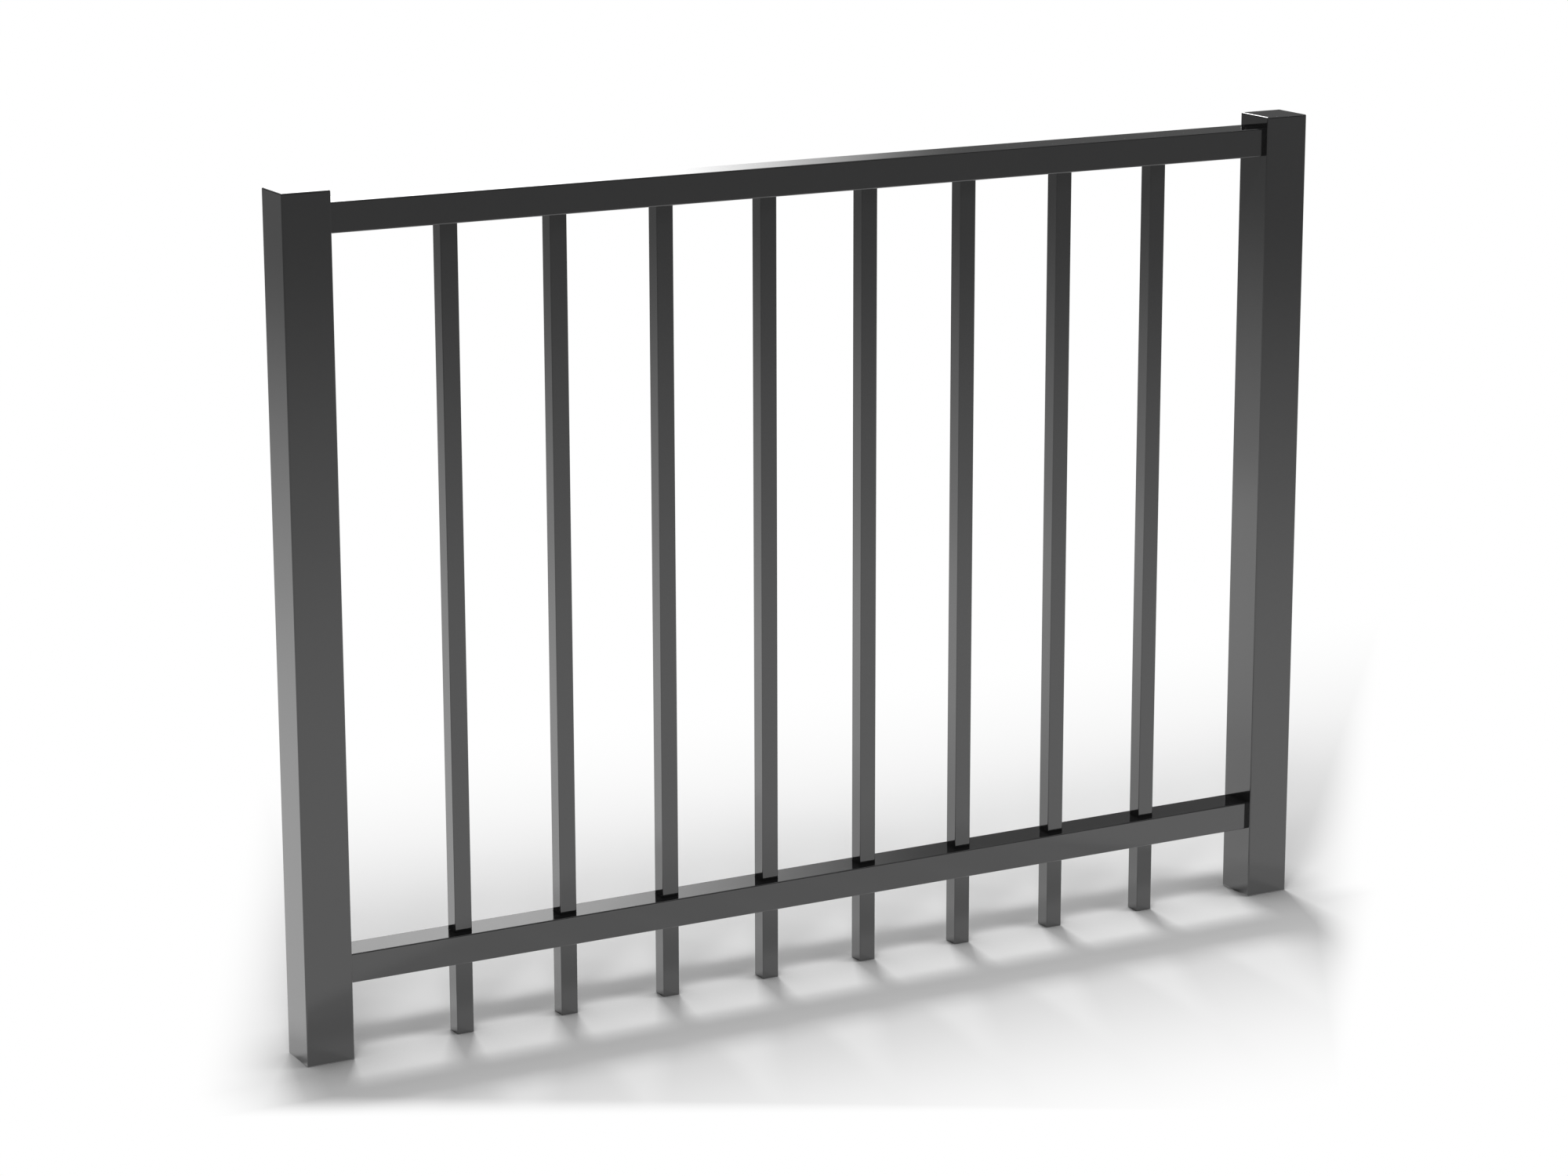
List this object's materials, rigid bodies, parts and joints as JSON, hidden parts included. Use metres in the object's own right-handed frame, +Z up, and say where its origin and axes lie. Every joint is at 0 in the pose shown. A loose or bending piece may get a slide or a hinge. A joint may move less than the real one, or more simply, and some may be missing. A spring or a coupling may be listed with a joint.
{
  "type": "metal fence panel",
  "caption": "Low metal fence panel: square tube posts with flush caps, joined by rectangular rails, with evenly spaced square pickets that pass through the lower rail to the ground.",
  "frame": {"origin": "centre of the left post's foot, on the ground", "axes": "+X along the fence from the left post to the right one, +Y from the front to the back, +Z up"},
  "size_m": [1.216, 0.052, 0.9],
  "materials": {
    "powder_coat": "glossy graphite powder coat on steel tube"
  },
  "bodies": {
    "root": {"bottom_rail": "powder_coat", "left_post": "powder_coat", "left_post_cap": "powder_coat", "left_post_foot": "powder_coat", "picket_1": "powder_coat", "picket_1_foot": "powder_coat", "picket_2": "powder_coat", "picket_2_foot": "powder_coat", "picket_3": "powder_coat", "picket_3_foot": "powder_coat", "picket_4": "powder_coat", "picket_4_foot": "powder_coat", "picket_5": "powder_coat", "picket_5_foot": "powder_coat", "picket_6": "powder_coat", "picket_6_foot": "powder_coat", "picket_7": "powder_coat", "picket_7_foot": "powder_coat", "picket_8": "powder_coat", "picket_8_foot": "powder_coat", "right_post": "powder_coat", "right_post_cap": "powder_coat", "right_post_foot": "powder_coat", "top_rail": "powder_coat"}
  },
  "joints": []
}
